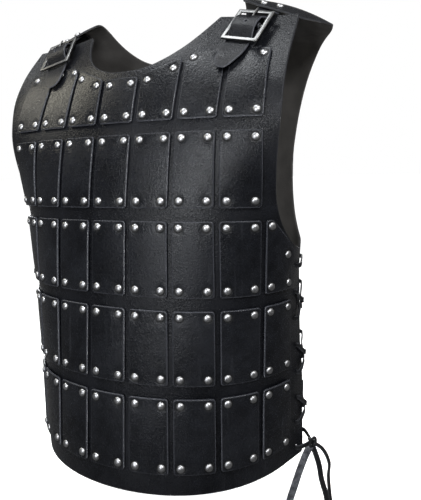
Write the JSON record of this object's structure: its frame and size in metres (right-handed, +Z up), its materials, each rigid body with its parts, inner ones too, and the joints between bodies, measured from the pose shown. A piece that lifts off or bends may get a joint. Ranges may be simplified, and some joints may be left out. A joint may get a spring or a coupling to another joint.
{
  "type": "studded leather armour",
  "caption": "Sleeveless black leather torso armour with riveted plates on the front, buckled shoulder straps and laced sides, in its worn hollow form.",
  "frame": {"origin": "midway between the wearer's shoulders, at the height where the shoulder straps pass over them", "axes": "+Z up along the wearer, -Y the way the wearer faces, +X towards the wearer's left"},
  "size_m": [0.47, 0.2362, 0.6809],
  "materials": {
    "panel_leather": "smooth semi-gloss black",
    "plate_leather": "stiff semi-gloss black with bevelled edges",
    "strap_leather": "smooth semi-gloss black",
    "lace_leather": "soft black",
    "bright_nickel": "bright, lightly brushed"
  },
  "bodies": {
    "root": {"front_panel": "panel_leather", "back_panel": "panel_leather", "plate_r1_c1": "plate_leather", "plate_r1_c2": "plate_leather", "plate_r1_c3": "plate_leather", "plate_r1_c4": "plate_leather", "plate_r1_c5": "plate_leather", "plate_r1_c6": "plate_leather", "plate_r1_c7": "plate_leather", "plate_r2_c1": "plate_leather", "plate_r2_c2": "plate_leather", "plate_r2_c3": "plate_leather", "plate_r2_c4": "plate_leather", "plate_r2_c5": "plate_leather", "plate_r2_c6": "plate_leather", "plate_r2_c7": "plate_leather", "plate_r3_c1": "plate_leather", "plate_r3_c2": "plate_leather", "plate_r3_c3": "plate_leather", "plate_r3_c4": "plate_leather", "plate_r3_c5": "plate_leather", "plate_r3_c6": "plate_leather", "plate_r3_c7": "plate_leather", "plate_r3_c8": "plate_leather", "plate_r3_c9": "plate_leather", "plate_r4_c1": "plate_leather", "plate_r4_c2": "plate_leather", "plate_r4_c3": "plate_leather", "plate_r4_c4": "plate_leather", "plate_r4_c5": "plate_leather", "plate_r4_c6": "plate_leather", "plate_r4_c7": "plate_leather", "plate_r4_c8": "plate_leather", "plate_r4_c9": "plate_leather", "plate_r5_c1": "plate_leather", "plate_r5_c2": "plate_leather", "plate_r5_c3": "plate_leather", "plate_r5_c4": "plate_leather", "plate_r5_c5": "plate_leather", "plate_r5_c6": "plate_leather", "plate_r5_c7": "plate_leather", "plate_r5_c8": "plate_leather", "plate_r5_c9": "plate_leather", "strap_left": "strap_leather", "chape_left": "strap_leather", "buckle_left": "bright_nickel", "prong_left": "bright_nickel", "lace_left": "lace_leather", "knot_left": "lace_leather", "strap_right": "strap_leather", "chape_right": "strap_leather", "buckle_right": "bright_nickel", "prong_right": "bright_nickel", "lace_right": "lace_leather", "knot_right": "lace_leather", "lace_end_left_a": "lace_leather", "lace_end_left_b": "lace_leather", "lace_end_left_c": "lace_leather", "lace_end_right": "lace_leather"}
  },
  "joints": []
}
